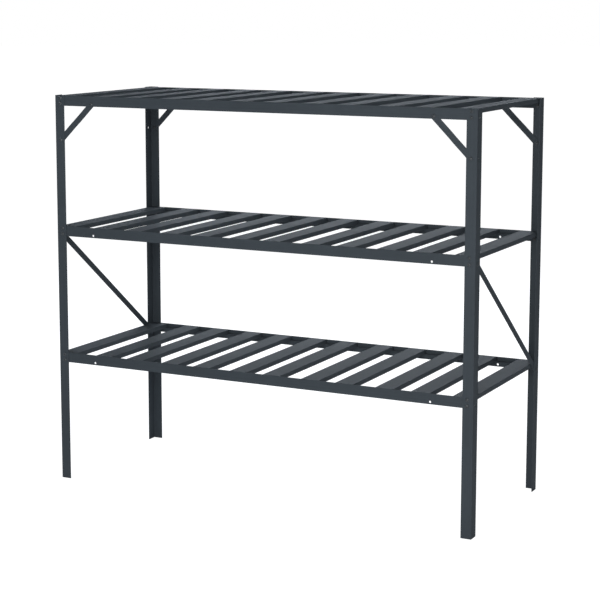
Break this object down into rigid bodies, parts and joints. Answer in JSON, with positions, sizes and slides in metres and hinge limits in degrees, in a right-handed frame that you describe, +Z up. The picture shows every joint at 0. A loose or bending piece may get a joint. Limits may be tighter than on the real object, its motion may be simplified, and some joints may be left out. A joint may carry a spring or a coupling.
{
  "type": "potting bench",
  "caption": "Free-standing rectangular bench with stacked slatted shelves on angle legs, with knee and side braces, for pots and seed trays.",
  "frame": {"origin": "on the floor, midway between the four legs", "axes": "+X to the right along the long side, +Y to the back, +Z up"},
  "size_m": [1.2052, 0.4902, 1.052],
  "materials": {
    "powder_coat": "satin",
    "bolt_coat": "satin"
  },
  "bodies": {
    "root": {"front_left_leg": "powder_coat", "front_right_leg": "powder_coat", "back_left_leg": "powder_coat", "back_right_leg": "powder_coat", "bottom_front_rail": "powder_coat", "bottom_back_rail": "powder_coat", "middle_front_rail": "powder_coat", "middle_back_rail": "powder_coat", "top_front_rail": "powder_coat", "top_back_rail": "powder_coat", "bottom_slat_01": "powder_coat", "bottom_slat_02": "powder_coat", "bottom_slat_03": "powder_coat", "bottom_slat_04": "powder_coat", "bottom_slat_05": "powder_coat", "bottom_slat_06": "powder_coat", "bottom_slat_07": "powder_coat", "bottom_slat_08": "powder_coat", "bottom_slat_09": "powder_coat", "bottom_slat_10": "powder_coat", "bottom_slat_11": "powder_coat", "bottom_slat_12": "powder_coat", "middle_slat_01": "powder_coat", "middle_slat_02": "powder_coat", "middle_slat_03": "powder_coat", "middle_slat_04": "powder_coat", "middle_slat_05": "powder_coat", "middle_slat_06": "powder_coat", "middle_slat_07": "powder_coat", "middle_slat_08": "powder_coat", "middle_slat_09": "powder_coat", "middle_slat_10": "powder_coat", "middle_slat_11": "powder_coat", "middle_slat_12": "powder_coat", "top_slat_01": "powder_coat", "top_slat_02": "powder_coat", "top_slat_03": "powder_coat", "top_slat_04": "powder_coat", "top_slat_05": "powder_coat", "top_slat_06": "powder_coat", "top_slat_07": "powder_coat", "top_slat_08": "powder_coat", "top_slat_09": "powder_coat", "top_slat_10": "powder_coat", "top_slat_11": "powder_coat", "top_slat_12": "powder_coat", "front_left_knee_brace": "powder_coat", "front_right_knee_brace": "powder_coat", "back_left_knee_brace": "powder_coat", "back_right_knee_brace": "powder_coat", "left_side_brace": "powder_coat", "right_side_brace": "powder_coat", "rail_bolts": "bolt_coat", "rail_nuts": "bolt_coat", "knee_brace_bolts": "bolt_coat", "knee_brace_nuts": "bolt_coat", "side_brace_bolts": "bolt_coat", "side_brace_nuts": "bolt_coat"}
  },
  "joints": []
}
